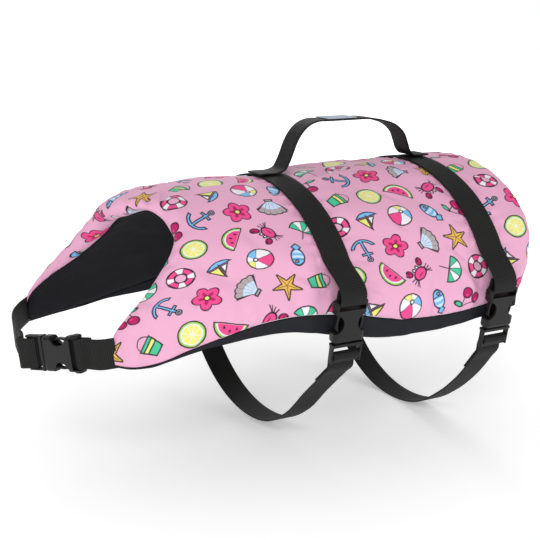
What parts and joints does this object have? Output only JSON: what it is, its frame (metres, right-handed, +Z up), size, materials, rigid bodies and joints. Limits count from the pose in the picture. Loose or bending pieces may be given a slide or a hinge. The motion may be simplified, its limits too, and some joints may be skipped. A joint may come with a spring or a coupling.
{
  "type": "dog flotation vest",
  "caption": "Foam-filled dog swim vest with chest flaps, webbing girth straps with side-release buckles and a grab handle on the back, open at neck, belly and rear.",
  "frame": {"origin": "on the inside of the lining, on the centre line under the front strap, where the vest lies on the wearer's back", "axes": "+X towards the tail, +Y towards the side away from the side buckles, +Z up"},
  "size_m": [0.4626, 0.2877, 0.2936],
  "materials": {
    "printed_nylon": "woven nylon, pink with a many-coloured all-over beach print, slight sheen",
    "dark_lining": "smooth bluish-black nylon lining",
    "hem_nylon": "bluish-black plain-woven nylon strip with sewn edge",
    "black_webbing": "black nylon webbing with ribs across its width",
    "black_plastic": "black moulded acetal, satin",
    "grey_patch": "plain pale grey-blue woven patch"
  },
  "bodies": {
    "root": {"outer_shell": "printed_nylon", "lining": "dark_lining", "hem_band_near": "hem_nylon", "hem_band_far": "hem_nylon", "strap_front": "black_webbing", "strap_rear": "black_webbing", "belly_strap_front": "black_webbing", "belly_strap_rear": "black_webbing", "grab_handle": "black_webbing", "handle_patch": "grey_patch", "chest_webbing_near": "black_webbing", "chest_webbing_far": "black_webbing", "buckle_front_female": "black_plastic", "buckle_front_male": "black_plastic", "buckle_rear_female": "black_plastic", "buckle_rear_male": "black_plastic", "buckle_chest_female": "black_plastic", "buckle_chest_male": "black_plastic"}
  },
  "joints": []
}
